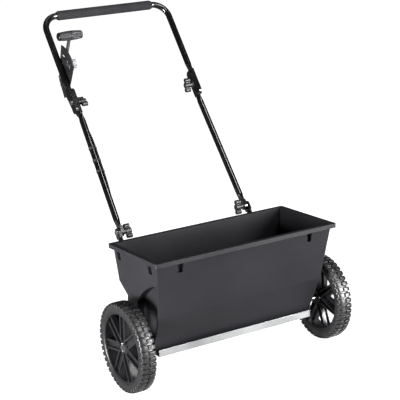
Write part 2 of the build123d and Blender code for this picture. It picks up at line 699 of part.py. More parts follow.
def lower_tube(side):
    """Lower handle tube, squeezed at both ends, inside the frame tube and the upper handle."""
    low, high = lower_tube_axis()
    shoulder = low[2] - FLAT_TAPER
    top = MID_JOINT_UP
    top_shoulder = high[2] + FLAT_TAPER
    tilt = math.degrees(math.atan2(high[0] - low[0], high[2] - low[2]))
    tube = flat_end(LOWER_BASE_X, -FLAT_WIDTH / 2, shoulder)
    tube += tube_taper(LOWER_BASE_X, shoulder, low[0], low[2], tilt)
    tube += hollow_tube(low, high)
    tube += tube_taper(LOWER_MID_X, top_shoulder, high[0], high[2], tilt)
    tube += flat_end(LOWER_MID_X, top + LOWER_TIP_UP, top_shoulder)
    tube -= x_rod(LOWER_BASE_X - 20, LOWER_BASE_X + 20, 0, 0, BOLT_RADIUS + RUNNING_FIT)
    tube -= x_rod(LOWER_MID_X - 20, LOWER_MID_X + 20, 0, top, BOLT_RADIUS)
    tube = on_handle(tube)
    return tube if side > 0 else mirror(tube, about=Plane.YZ)


def handle_path(half_width, low, high, bend):
    """U-shaped centre line in the handle frame."""
    return Wire([
        Line((-half_width, 0, low), (-half_width, 0, high - bend)).edge(),
        ThreePointArc(
            (-half_width, 0, high - bend),
            (-half_width + bend * (1 - math.sqrt(0.5)), 0, high - bend * (1 - math.sqrt(0.5))),
            (-half_width + bend, 0, high),
        ).edge(),
        Line((-half_width + bend, 0, high), (half_width - bend, 0, high)).edge(),
        ThreePointArc(
            (half_width - bend, 0, high),
            (half_width - bend * (1 - math.sqrt(0.5)), 0, high - bend * (1 - math.sqrt(0.5))),
            (half_width, 0, high - bend),
        ).edge(),
        Line((half_width, 0, high - bend), (half_width, 0, low)).edge(),
    ])


def upper_handle():
    """One bent tube: two legs with squeezed ends and the top bar between them."""
    shoulder = MID_JOINT_UP + LOWER_TIP_UP + TIP_CLEARANCE
    low = shoulder + FLAT_TAPER
    path = handle_path(HANDLE_HALF_WIDTH, low, HANDLE_TOP_UP, HANDLE_BEND)
    section = Plane(path @ 0, z_dir=path % 0)
    tube = sweep(section * Circle(TUBE_RADIUS), path=path)
    bore = handle_path(HANDLE_HALF_WIDTH, low + 3.0, HANDLE_TOP_UP, HANDLE_BEND)
    tube -= sweep(Plane(bore @ 0, z_dir=bore % 0) * Circle(TUBE_RADIUS - TUBE_WALL), path=bore)
    x = HANDLE_HALF_WIDTH
    leg = tube_taper(x, shoulder, x, low)
    leg += flat_end(x, MID_JOINT_UP - UPPER_TIP_DOWN, shoulder)
    leg -= x_rod(x - 20, x + 20, 0, MID_JOINT_UP, BOLT_RADIUS + RUNNING_FIT)
    tube += both_sides(leg)
    for s in PLATE_SCREW_UP:
        tube -= x_rod(PLATE_X - 8, PLATE_X, 0, s, PLATE_SCREW_RADIUS)
    return on_handle(tube)


def foam_grip():
    """Foam sleeve on the top bar."""
    half = HANDLE_GRIP_LENGTH / 2
    sleeve = x_rod(-half, half, 0, HANDLE_TOP_UP, GRIP_RADIUS)
    return on_handle(sleeve - x_rod(-half, half, 0, HANDLE_TOP_UP, TUBE_RADIUS))


def clamp_bolt(outer_x, inner_x, s):
    """Round-head bolt through one joint of the right leg, in the handle frame."""
    head = x_rod(outer_x, outer_x + 2.0, 0, s, 9.0) + x_rod(outer_x + 2.0, outer_x + 4.0, 0, s, 6.5)
    return head + x_rod(inner_x, outer_x, 0, s, BOLT_RADIUS)


def base_bolts():
    """Bolts of the two base joints."""
    outer = FRAME_X + FLAT_THICKNESS / 2
    inner = LOWER_BASE_X - FLAT_THICKNESS / 2 - WASHER_THICKNESS - KNOB_BOSS - 12.0
    return on_handle(both_sides(clamp_bolt(outer, inner, 0)))


def mid_bolts():
    """Bolts of the two middle joints."""
    outer = HANDLE_HALF_WIDTH + FLAT_THICKNESS / 2 + GAP
    inner = LOWER_MID_X - FLAT_THICKNESS / 2 - WASHER_THICKNESS - KNOB_BOSS - 12.0
    return on_handle(both_sides(clamp_bolt(outer, inner, MID_JOINT_UP)))


def joint_washers(joint_x, s):
    """Washers between a pair of joints and their knobs."""
    inner = joint_x - FLAT_THICKNESS / 2 - WASHER_THICKNESS
    outer = inner + WASHER_THICKNESS
    washer = x_rod(inner, outer, 0, s, JOINT_WASHER_RADIUS)
    washer -= x_rod(inner - 1, outer + 1, 0, s, BOLT_RADIUS + RUNNING_FIT)
    return on_handle(both_sides(washer))


def wing_knob(joint_x, s, side, angle):
    """Clamp knob with two round wings, on the bolt's inner end."""
    face = joint_x - FLAT_THICKNESS / 2 - WASHER_THICKNESS - GAP
    neck = face - KNOB_BOSS
    end = neck - KNOB_HEAD
    lobe = WING_THICKNESS / 2
    reach = WING_SPAN / 2 - lobe
    knob = x_rod(neck, face, 0, 0, 8.0) + x_rod(end, neck, 0, 0, 9.0)
    for way in (-1, 1):
        knob += x_rod(end + 1, neck, 0, way * reach, lobe)
        knob += block((end + 2, neck), (-4.5, 4.5), (min(0, way * reach), max(0, way * reach)))
    bore_end = face - KNOB_BOSS - 12.5
    knob -= x_rod(bore_end, face, 0, 0, BOLT_RADIUS + RUNNING_FIT)
    knob = Pos(0, 0, s) * Rot(angle, 0, 0) * knob
    return on_handle(knob if side > 0 else mirror(knob, about=Plane.YZ))


def frame_bolts():
    """Bolts of the frame: two through the rear wall, two at the tray's ears, two at the leg."""
    bolts = Part()
    y = frame_y(FRAME_BOLT_HEIGHT)
    head_y = y + SADDLE_BACK
    wall = rear_y(FRAME_BOLT_HEIGHT) - HOPPER_WALL
    z = FRAME_BOLT_HEIGHT
    rear = rod((FRAME_X, wall - 9, z), (FRAME_X, head_y, z), FRAME_BOLT_RADIUS)
    rear += rod((FRAME_X, head_y, z), (FRAME_X, head_y + 4, z), 5.5)
    ear_x = FRAME_X - FLAT_THICKNESS / 2
    head_x = FRAME_X + FLAT_THICKNESS / 2
    foot = x_rod(ear_x - 2 - 6, head_x, 0, -FRAME_FOOT_DOWN, FRAME_BOLT_RADIUS)
    foot += hexagon_x(head_x, head_x + 4, 0, -FRAME_FOOT_DOWN, 10.0)
    head_x = FRAME_X + TUBE_RADIUS
    leg = x_rod(LEG_X - LEG_RADIUS - 6, head_x, 0, -LEG_JOINT_DOWN, FRAME_BOLT_RADIUS)
    leg += hexagon_x(head_x, head_x + 4, 0, -LEG_JOINT_DOWN, 10.0)
    bolts += rear + on_handle(foot) + on_handle(leg)
    return both_sides(bolts)


def frame_nuts():
    """Nuts of the frame bolts."""
    z = FRAME_BOLT_HEIGHT
    wall = rear_y(z) - HOPPER_WALL - GAP
    outline = RegularPolygon(5.0, 6, major_radius=False)
    nut = extrude(Plane.XZ.offset(-wall) * Pos(FRAME_X, z) * outline, 5.0)
    nut -= rod((FRAME_X, wall - 9, z), (FRAME_X, wall + 1, z), FRAME_BOLT_RADIUS)
    ear_x = FRAME_X - FLAT_THICKNESS / 2 - 2
    foot = hexagon_x(ear_x - 5, ear_x, 0, -FRAME_FOOT_DOWN, 10.0)
    foot -= x_rod(ear_x - 9, ear_x, 0, -FRAME_FOOT_DOWN, FRAME_BOLT_RADIUS)
    side_x = LEG_X - LEG_RADIUS
    leg = hexagon_x(side_x - 5, side_x, 0, -LEG_JOINT_DOWN, 10.0)
    leg -= x_rod(side_x - 9, side_x, 0, -LEG_JOINT_DOWN, FRAME_BOLT_RADIUS)
    return both_sides(nut + on_handle(foot) + on_handle(leg))


def saddle_washers():
    """Blocks behind the frame tubes that give the bolts' heads a flat seat."""
    y = frame_y(FRAME_BOLT_HEIGHT)
    z = FRAME_BOLT_HEIGHT
    saddle = block((FRAME_X - 8, FRAME_X + 8), (y, y + SADDLE_BACK), (z - 8, z + 8))
    saddle -= rod(*frame_tube_axis(1), TUBE_RADIUS)
    saddle &= block((FRAME_X - 8, FRAME_X + 8), (y + 4, y + SADDLE_BACK), (z - 8, z + 8))
    return both_sides(saddle - rod((FRAME_X, y, z), (FRAME_X, y + 40, z), FRAME_BOLT_RADIUS))


def frame_ears():
    """Plates from the tray's rear flange up to the feet of the frame tubes."""
    foot = HANDLE.from_local_coords((FRAME_X, 0, -FRAME_FOOT_DOWN))
    x = FRAME_X - FLAT_THICKNESS / 2
    outline = Polygon(
        (TRAY_WIDTH / 2, FLOOR_HEIGHT),
        (TRAY_WIDTH / 2 + 18, FLOOR_HEIGHT),
        (foot.Y + 13, foot.Z),
        (foot.Y + 6, foot.Z + 12),
        (foot.Y - 10, foot.Z + 10),
        (TRAY_WIDTH / 2, FLOOR_HEIGHT + 18),
        align=None,
    )
    ear = yz_prism(outline, x - 2, x)
    ear += block((x - 16, x), (TRAY_WIDTH / 2, TRAY_WIDTH / 2 + 2), (FLOOR_HEIGHT, FLOOR_HEIGHT + 17))
    ear -= x_rod(x - 9, x + 9, foot.Y, foot.Z, FRAME_BOLT_RADIUS)
    return both_sides(ear)


def support_leg():
    """Bent rod stand: two legs from the frame tubes down to a bar on the floor."""
    top = HANDLE.from_local_coords((0, 0, -LEG_JOINT_DOWN))
    tip = HANDLE.from_local_coords((0, 0, -LEG_JOINT_DOWN + 16.0))
    knee = (LEG_FOOT_Y, LEG_RADIUS)
    points = [
        (-LEG_X, tip.Y, tip.Z + 4),
        (-LEG_X, knee[0], knee[1]),
        (LEG_X, knee[0], knee[1]),
        (LEG_X, tip.Y, tip.Z + 4),
    ]
    path = FilletPolyline(*points, radius=LEG_BEND)
    leg = sweep(Plane(path @ 0, z_dir=path % 0) * Circle(LEG_RADIUS), path=path)
    for side in (-1, 1):
        leg -= x_rod(side * LEG_X - 20, side * LEG_X + 20, top.Y, top.Z, FRAME_BOLT_RADIUS)
    return leg


# ------------------------------------------------------------------ flow lever, drawn in the handle frame
def around_pivot(radius, angle_deg):
    """Point at a radius and an angle forward of the tube's direction, as (y, z)."""
    turn = math.radians(angle_deg)
    return (LEVER_PIVOT[0] - radius * math.sin(turn), LEVER_PIVOT[1] + radius * math.cos(turn))


def quadrant_plate():
    """Steel plate on the left leg with the pivot hole, the stop's slot and a tab for the cable."""
    outline = Polygon(
        (-37.0, 599.0), (-110.0, 600.0), (-70.0, 512.0), (2.0, 481.0),
        (48.0, 468.0), (62.0, 474.0), (53.0, 533.0),
        align=None,
    )
    outline = fillet(outline.vertices(), 4.0) & (Pos(*LEVER_PIVOT) * Circle(QUADRANT_RADIUS))
    plate = yz_prism(outline, PLATE_X, PLATE_FACE_X)
    slot_arc = CenterArc(LEVER_PIVOT, STOP_RADIUS, 90.0 + 53.0, 46.0)
    plate -= yz_prism(SlotArc(slot_arc, STOP_SLOT_WIDTH), PLATE_X - 1, PLATE_FACE_X + 1)
    plate += block((PLATE_X, WIRE_X + 6), (49.0, 63.0), (TAB_UP, TAB_UP + 3))
    plate -= rod((WIRE_X, WIRE_DROP, TAB_UP - 1), (WIRE_X, WIRE_DROP, TAB_UP + 4), 3.0)
    plate -= x_rod(PLATE_X - 1, PLATE_FACE_X + 1, *LEVER_PIVOT, BOLT_RADIUS)
    for s in PLATE_SCREW_UP:
        plate -= x_rod(PLATE_X - 1, PLATE_FACE_X + 1, 0, s, PLATE_SCREW_RADIUS)
    return on_handle(plate)


def plate_screws():
    """Screws through the plate into the left leg."""
    screws = Part()
    for s in PLATE_SCREW_UP:
        screws += x_rod(PLATE_X - 7, PLATE_FACE_X, 0, s, PLATE_SCREW_RADIUS)
        screws += x_rod(PLATE_FACE_X, PLATE_FACE_X + 0.3, 0, s, 4.5)
    return on_handle(screws)


def lever_pivot_bolt():
    """Bolt that the lever turns on, with its nut behind the plate."""
    end = LEVER_X + LEVER_THICKNESS / 2 + GAP
    bolt = x_rod(PLATE_X - 8, end, *LEVER_PIVOT, BOLT_RADIUS)
    bolt += hexagon_x(end, end + 5, *LEVER_PIVOT, 13.0)
    return on_handle(bolt + hexagon_x(PLATE_X - 6, PLATE_X, *LEVER_PIVOT, 13.0))


def lever():
    """Flat lever with its pivot eye and a short tail that pulls the cable."""
    low = LEVER_X - LEVER_THICKNESS / 2
    high = LEVER_X + LEVER_THICKNESS / 2
    half = LEVER_WIDTH / 2
    bar = block((low, high), (-half, half), (-LEVER_TAIL, LEVER_LENGTH - LEVER_GRIP_RADIUS + 4))
    bar += x_rod(low, high, 0, 0, 12.0) + x_rod(low, high, 0, -LEVER_TAIL, half)
    bar -= x_rod(low - 1, high + 1, 0, 0, BOLT_RADIUS + RUNNING_FIT)
    bar -= x_rod(low - 1, high + 1, 0, -LEVER_TAIL, 2.0)
    bar = Pos(0, *LEVER_PIVOT) * Rot(LEVER_ANGLE_DEG, 0, 0) * bar
    return on_handle(bar)


def grip_half(x_low, x_high):
    """One half of the lever's T grip, thickest at the stem, bored for the stem's end."""
    half = LEVER_GRIP_LENGTH / 2
    outline = Polygon(
        (-half, 0), (-half, LEVER_GRIP_RADIUS - 4.5), (-half + 4, LEVER_GRIP_RADIUS - 2.5),
        (0, LEVER_GRIP_RADIUS), (half - 4, LEVER_GRIP_RADIUS - 2.5), (half, LEVER_GRIP_RADIUS - 4.5),
        (half, 0),
        align=None,
    )
    barrel = revolve(Plane.XZ * outline, axis=Axis.X)
    barrel = Pos(LEVER_X, *around_pivot(LEVER_LENGTH, LEVER_ANGLE_DEG)) * barrel
    return on_handle(barrel & block((x_low, x_high), (-300, 300), (0, 900))) - lever()


def lever_grip_left():
    """Outboard half of the T grip."""
    return grip_half(LEVER_X - LEVER_GRIP_LENGTH, LEVER_X)


def lever_grip_right():
    """Inboard half of the T grip."""
    return grip_half(LEVER_X, LEVER_X + LEVER_GRIP_LENGTH)


def rate_stop():
    """Screw in the plate's slot whose boss stops the lever."""
    place = around_pivot(STOP_RADIUS, STOP_ANGLE_DEG)
    stop = x_rod(PLATE_X - 4, PLATE_X - GAP, *place, 6.0)
    stop += x_rod(PLATE_X - 2, PLATE_FACE_X + GAP + 1, *place, STOP_SLOT_WIDTH / 2 - 0.4)
    stop += x_rod(PLATE_FACE_X + GAP, PLATE_FACE_X + 7, *place, 5.0)
    return on_handle(stop + x_rod(PLATE_FACE_X + 7, PLATE_FACE_X + 15, *place, 2.5))


def rate_knob():
    """Round fluted knob that clamps the stop."""
    place = around_pivot(STOP_RADIUS, STOP_ANGLE_DEG)
    start = PLATE_FACE_X + 7 + GAP
    knob = x_rod(start, start + 12, *place, STOP_KNOB_RADIUS)
    count = 12
    for index in range(count):
        turn = 2 * math.pi * index / count
        y = place[0] + (STOP_KNOB_RADIUS + 1.2) * math.cos(turn)
        z = place[1] + (STOP_KNOB_RADIUS + 1.2) * math.sin(turn)
        knob -= x_rod(start, start + 12, y, z, 2.2)
    return on_handle(knob - x_rod(start, start + 9, *place, 2.5 + RUNNING_FIT))


# ------------------------------------------------------------------ cable
def cable_nipple():
    """Pin in the lever's tail that the inner wire ends in."""
    place = around_pivot(-LEVER_TAIL, LEVER_ANGLE_DEG)
    low = LEVER_X - LEVER_THICKNESS / 2
    return on_handle(x_rod(low, WIRE_X + 3, *place, 2.0))


def lever_wire():
    """Inner wire from the lever's tail down into the adjuster."""
    y, tail_up = around_pivot(-LEVER_TAIL, LEVER_ANGLE_DEG)
    return on_handle(rod((WIRE_X, y, TAB_UP + 6), (WIRE_X, y, tail_up - 2.0), WIRE_DIAMETER / 2))


def cable_adjuster():
    """Threaded barrel on the plate's tab that the cable's sheath starts from."""
    top = TAB_UP + 10
    barrel = rod((WIRE_X, WIRE_DROP, TAB_UP - 12), (WIRE_X, WIRE_DROP, TAB_UP), 4.0)
    barrel += rod((WIRE_X, WIRE_DROP, TAB_UP), (WIRE_X, WIRE_DROP, TAB_UP + 3), 3.0)
    barrel += rod((WIRE_X, WIRE_DROP, TAB_UP + 3), (WIRE_X, WIRE_DROP, top), 4.5)
    return on_handle(barrel - rod((WIRE_X, WIRE_DROP, TAB_UP - 4), (WIRE_X, WIRE_DROP, top), 1.3))


def beside_tube(s, back):
    """Point on the cable's line along the inner side of the left lower tube."""
    low, high = lower_tube_axis()
    share = (s - low[2]) / (high[2] - low[2])
    tube_x = low[0] + (high[0] - low[0]) * share
    return (-(tube_x - TUBE_RADIUS - CABLE_RADIUS - CABLE_STAND_OFF), back, s)


def cable_upper():
    """Cable sheath from the adjuster past the middle joint to the clip on the lower tube."""
    route = [
        (WIRE_X, WIRE_DROP, TAB_UP - 12),
        (WIRE_X, WIRE_DROP, 438.0),
        (-192.0, 46.0, 408.0),
        (-191.5, 26.0, 372.0),
        (-191.8, 9.0, 332.0),
        beside_tube(290.0, 1.0),
        beside_tube(250.0, 1.5),
        beside_tube(CABLE_SPLIT_UP, 1.5),
    ]
    return on_handle(cable_tube(route))


def cable_tube(route):
    """Round cable along a hand-set route."""
    path = smooth_path(route)
    tube = sweep(Plane(path @ 0, z_dir=path % 0) * Circle(CABLE_RADIUS), path=path)
    expected = math.pi * CABLE_RADIUS**2 * path.length
    print("cable length", round(path.length, 1), "volume ratio", round(tube.volume / expected, 4))
    return tube


def cable_lower():
    """Cable sheath from the clip past the base joint to the ferrule behind the tray."""
    upper_part = [
        beside_tube(CABLE_SPLIT_UP, 1.5),
        beside_tube(172.0, 1.5),
        beside_tube(130.0, 7.0),
        (-196.5, 20.0, 88.0),
        (-197.0, 35.0, 46.0),
        (-196.0, 43.0, 2.0),
        (-192.0, 45.0, -44.0),
        (-188.0, 43.0, -92.0),
    ]
    route = [HANDLE.from_local_coords(point) for point in upper_part]
    end_y = ANCHOR_Y + 16
    route += [
        Vector(-186.0, 183.0, 236.0),
        Vector(-186.0, 173.0, 190.0),
        Vector(-186.5, 177.0, 138.0),
        Vector(-187.5, 159.0, 112.0),
        Vector(ARM_X, end_y + 14, CABLE_END_HEIGHT),
        Vector(ARM_X, end_y, CABLE_END_HEIGHT),
    ]
    return cable_tube([(point.X, point.Y, point.Z) for point in route])


def cable_clips():
    """Bands that hold the cable to the left lower tube."""
    clips = Part()
    for s in CLIPS_UP:
        x, back, _ = beside_tube(s, 1.5)
        tube_x = x - TUBE_RADIUS - CABLE_RADIUS - CABLE_STAND_OFF
        low, high = s - CLIP_LENGTH / 2, s + CLIP_LENGTH / 2
        band = rod((tube_x, 0, low), (tube_x, 0, high), TUBE_RADIUS + CLIP_THICKNESS)
        clips += band + rod((x, back, low), (x, back, high), CABLE_RADIUS + CLIP_THICKNESS)
    low, high = lower_tube_axis()
    core = rod((-low[0], 0, low[2]), (-high[0], 0, high[2]), TUBE_RADIUS)
    return on_handle(clips - core) - cable_upper() - cable_lower()


# ------------------------------------------------------------------ all pieces
def pieces():
    """Every piece by its name."""
    return {
        "hopper": hopper(),
        "bottom_tray": bottom_tray(),
        "tray_screws": tray_screws(),
        "shutter_straps": shutter_straps(),
        "shutter": shutter(),
        "shutter_wire": shutter_wire(),
        "shutter_spring": shutter_spring(),
        "cable_anchor": cable_anchor(),
        "cable_ferrule": cable_ferrule(),
        "axle": axle(),
        "agitator": agitator(),
        "axle_bush_left": axle_bush(-1),
        "axle_bush_right": axle_bush(1),
        "axle_spacers": axle_spacers(),
        "axle_washers": axle_washers(),
        "cotter_pins": cotter_pins(),
        "drive_pin": drive_pin(),
        "wheel_left": wheel_rim(-1),
        "wheel_right": wheel_rim(1),
        "tyre_left": tyre(-1),
        "tyre_right": tyre(1),
        "frame_tube_left": frame_tube(-1),
        "frame_tube_right": frame_tube(1),
        "frame_ears": frame_ears(),
        "frame_bolts": frame_bolts(),
        "frame_nuts": frame_nuts(),
        "saddle_washers": saddle_washers(),
        "support_leg": support_leg(),
        "lower_tube_left": lower_tube(-1),
        "lower_tube_right": lower_tube(1),
        "base_bolts": base_bolts(),
        "base_washers": joint_washers(LOWER_BASE_X, 0),
        "mid_bolts": mid_bolts(),
        "mid_washers": joint_washers(LOWER_MID_X, MID_JOINT_UP),
        "base_knob_left": wing_knob(LOWER_BASE_X, 0, -1, 0.0),
        "base_knob_right": wing_knob(LOWER_BASE_X, 0, 1, 30.0),
        "mid_knob_left": wing_knob(LOWER_MID_X, MID_JOINT_UP, -1, -35.0),
        "mid_knob_right": wing_knob(LOWER_MID_X, MID_JOINT_UP, 1, 30.0),
        "upper_handle": upper_handle(),
        "foam_grip": foam_grip(),
        "quadrant_plate": quadrant_plate(),
        "plate_screws": plate_screws(),
        "lever_pivot_bolt": lever_pivot_bolt(),
        "lever": lever(),
        "lever_grip_left": lever_grip_left(),
        "lever_grip_right": lever_grip_right(),
        "rate_stop": rate_stop(),
        "rate_knob": rate_knob(),
        "cable_nipple": cable_nipple(),
        "lever_wire": lever_wire(),
        "cable_adjuster": cable_adjuster(),
        "cable_upper": cable_upper(),
        "cable_lower": cable_lower(),
        "cable_clips": cable_clips(),
    }


os.makedirs("parts", exist_ok=True)
for name, shape in pieces().items():
    export_step(Pos(0, SHIFT_Y, 0) * shape, f"parts/{name}.step")
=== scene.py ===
# %% [markdown]
# # Walk-behind drop spreader: the looks
# The CAD model is the frame of the machine, and this script gives it its looks: finishes taken
# from the real materials, and the few surfaces that a plain CAD solid cannot show, such as the
# lugs of the tyres and the flutes of the grips. All lengths are in metres, +X is to the right,
# -Y is the front and +Z is up. The frame is loaded first.

# %%
import json
import math

import bmesh
import bpy
import numpy as np
from mathutils import Matrix, Vector


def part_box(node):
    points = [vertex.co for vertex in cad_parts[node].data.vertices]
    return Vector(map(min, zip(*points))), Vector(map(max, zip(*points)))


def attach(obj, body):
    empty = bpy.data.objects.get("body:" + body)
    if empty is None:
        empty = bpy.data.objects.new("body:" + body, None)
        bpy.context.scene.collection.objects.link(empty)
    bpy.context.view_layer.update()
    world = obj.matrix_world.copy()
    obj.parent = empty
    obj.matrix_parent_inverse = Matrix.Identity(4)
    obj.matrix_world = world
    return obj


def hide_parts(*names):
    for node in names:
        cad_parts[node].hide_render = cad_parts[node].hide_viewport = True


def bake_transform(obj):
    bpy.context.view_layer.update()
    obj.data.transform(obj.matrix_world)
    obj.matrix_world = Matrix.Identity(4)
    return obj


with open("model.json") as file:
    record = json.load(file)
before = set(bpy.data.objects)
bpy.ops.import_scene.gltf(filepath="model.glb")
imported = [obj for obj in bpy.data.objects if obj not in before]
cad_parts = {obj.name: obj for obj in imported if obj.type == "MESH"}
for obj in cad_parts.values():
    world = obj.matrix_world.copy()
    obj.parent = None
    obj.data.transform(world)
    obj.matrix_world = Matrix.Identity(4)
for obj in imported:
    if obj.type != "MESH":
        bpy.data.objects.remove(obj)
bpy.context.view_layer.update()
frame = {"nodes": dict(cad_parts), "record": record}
MM = 0.001

# %% [markdown]
# ## Finishes
# Every finish is built the same way. A broad noise drifts the colour between two near shades, as
# moulding and handling do. The same noise moves the roughness a little. A fine noise raises the
# grain of the surface. Both patterns are sized in real millimetres on the object's own
# coordinates, so they stay put when the piece moves.

# %%
def linear(hex_code):
    """Linear colour with alpha from an sRGB code such as '3c3c40'."""
    shares = [int(hex_code[i:i + 2], 16) / 255 for i in (0, 2, 4)]
    return [c / 12.92 if c <= 0.04045 else ((c + 0.055) / 1.055) ** 2.4 for c in shares] + [1.0]


def add(tree, kind, **sockets):
    """Adds a shader node and sets its sockets by name, with _ for a space."""
    made = tree.nodes.new(kind)
    for name, value in sockets.items():
        made.inputs[name.replace("_", " ")].default_value = value
    return made


def finish(name, dark, light, rough, patch_mm, grain_mm, grain_high_mm, **shader_sockets):
    """Material whose colour drifts from dark to light and whose surface has a fine grain."""
    material = bpy.data.materials.new(name)
    material.use_nodes = True
    tree = material.node_tree
    shader = tree.nodes["Principled BSDF"]
    for socket, value in shader_sockets.items():
        shader.inputs[socket.replace("_", " ")].default_value = value
    place = add(tree, "ShaderNodeTexCoord")
    patches = add(tree, "ShaderNodeTexNoise", Scale=1 / (patch_mm * MM), Detail=3.0)
    grain = add(tree, "ShaderNodeTexNoise", Scale=1 / (grain_mm * MM), Detail=2.0)
    ramp = add(tree, "ShaderNodeValToRGB")
    ramp.color_ramp.elements[0].position = 0.3
    ramp.color_ramp.elements[0].color = linear(dark)
    ramp.color_ramp.elements[1].position = 0.7
    ramp.color_ramp.elements[1].color = linear(light)
    gloss = add(tree, "ShaderNodeMapRange", From_Min=0.3, From_Max=0.7)
    gloss.inputs["To Min"].default_value = rough - 0.04
    gloss.inputs["To Max"].default_value = rough + 0.05
    bump = add(tree, "ShaderNodeBump", Strength=0.6, Distance=grain_high_mm * MM)
    tree.links.new(place.outputs["Object"], patches.inputs["Vector"])
    tree.links.new(place.outputs["Object"], grain.inputs["Vector"])
    tree.links.new(patches.outputs["Fac"], ramp.inputs["Fac"])
    tree.links.new(patches.outputs["Fac"], gloss.inputs["Value"])
    tree.links.new(grain.outputs["Fac"], bump.inputs["Height"])
    tree.links.new(ramp.outputs["Color"], shader.inputs["Base Color"])
    tree.links.new(gloss.outputs["Result"], shader.inputs["Roughness"])
    tree.links.new(bump.outputs["Normal"], shader.inputs["Normal"])
    return material


# %% [markdown]
# The hopper is moulded in charcoal plastic with a fine satin grain. The tubes are powder coated
# in gloss black, which flows out to a smooth coat with a faint orange-peel swell of about 3 mm.
# The tray and the small fittings are bright zinc-plated steel. The tyres are dull black rubber,
# the hand grip is closed-cell foam, and the knobs are satin moulded plastic.

# %%
finishes = {
    "hopper_plastic": finish(
        "charcoal moulded plastic", "1e1e21", "232326", 0.38, 180, 0.9, 0.05, Specular_IOR_Level=0.2
    ),
    "tube_paint": finish(
        "gloss black powder coat", "050506", "090909", 0.16, 60, 3.0, 0.012,
        Coat_Weight=0.5, Coat_Roughness=0.08
    ),
    "tray_steel": finish("bright zinc-plated sheet", "a9aaab", "b6b7b8", 0.34, 90, 0.7, 0.004, Metallic=1.0),
    "zinc_steel": finish("zinc-plated steel", "8c8c8c", "a6a6a5", 0.34, 12, 0.5, 0.01, Metallic=1.0),
    "wheel_plastic": finish("black moulded wheel plastic", "141416", "1b1b1d", 0.32, 45, 0.9, 0.04),
    "tyre": finish(
        "black tyre rubber", "1a1a1b", "202021", 0.34, 22, 0.7, 0.02, Specular_IOR_Level=0.6
    ),
    "grip_foam": finish(
        "dark grey foam", "222225", "29292b", 0.7, 30, 0.9, 0.12, Specular_IOR_Level=0.12
    ),
    "lever_grip_plastic": finish(
        "grey moulded grip plastic", "252527", "2f2f31", 0.42, 14, 0.6, 0.03, Specular_IOR_Level=0.35
    ),
    "knob_plastic": finish("satin black knob plastic", "121213", "19191a", 0.42, 14, 1.2, 0.01),
    "rate_knob_plastic": finish("light grey knob plastic", "8f8f91", "a0a0a2", 0.4, 10, 0.6, 0.03),
    "plate_plastic": finish("black quadrant plate plastic", "141415", "1c1c1e", 0.36, 30, 0.8, 0.03),
    "cable_sheath": finish("black cable sheath", "0e0e0f", "151516", 0.3, 25, 0.8, 0.01),
    "nylon": finish("black nylon", "161617", "1f1f20", 0.42, 12, 0.6, 0.02),
}
cap_black = finish("black end cap plastic", "0b0b0c", "111112", 0.3, 10, 0.7, 0.02)
for part in frame["record"]["subparts"]:
    mesh = frame["nodes"][part["node"]].data
    mesh.materials.clear()
    mesh.materials.append(finishes[part["material_slot"]])

# %% [markdown]
# ## Softened edges
# Moulded plastic and sheet steel never end in a razor edge. A narrow bevel catches the light
# along each edge of the larger pieces, and the normals are weighted by face area so that flat
# walls still look flat.

# %%
def soften(node, width_mm, angle_deg=32.0):
    """Rounds the sharp edges of a CAD node with modifiers, without touching its mesh."""
    piece = frame["nodes"][node]
    weld = piece.modifiers.new("joined corners", "WELD")
    weld.merge_threshold = 0.01 * MM
    bevel = piece.modifiers.new("soft edges", "BEVEL")
    bevel.width = width_mm * MM
    bevel.segments = 2
    bevel.limit_method = "ANGLE"
    bevel.angle_limit = math.radians(angle_deg)
    piece.modifiers.new("flat walls", "WEIGHTED_NORMAL")


edge_widths = {
    "wheel_left": 0.8, "wheel_right": 0.8, "quadrant_plate": 0.6, "bottom_tray": 0.3,
    "base_knob_left": 1.2, "base_knob_right": 1.2, "mid_knob_left": 1.2, "mid_knob_right": 1.2,
    "rate_knob": 0.8, "upper_handle": 0.8, "lower_tube_left": 0.8, "lower_tube_right": 0.8,
    "frame_tube_left": 0.8, "frame_tube_right": 0.8, "lever": 0.5,
}
for node, width_mm in edge_widths.items():
    soften(node, width_mm)
soften("hopper", 1.0, angle_deg=8.0)
print("softened", len(edge_widths) + 1, "nodes")

# %% [markdown]
# ## Surfaces turned about the axle's direction
# The tyres, the hand grip and the lever's grip are all turned shapes that run along X, with
# something extra round them. Each is a grid of points: one way goes round the axis and the other
# follows the section. A point at the angle a, measured from +Z towards +Y, and at the radius r
# lies at (x, r sin a, r cos a) from the axis.

# %%
def ease(value, low, high):
    """Smooth step from 0 at low to 1 at high."""
    share = np.clip((value - low) / (high - low), 0.0, 1.0)
    return share * share * (3.0 - 2.0 * share)


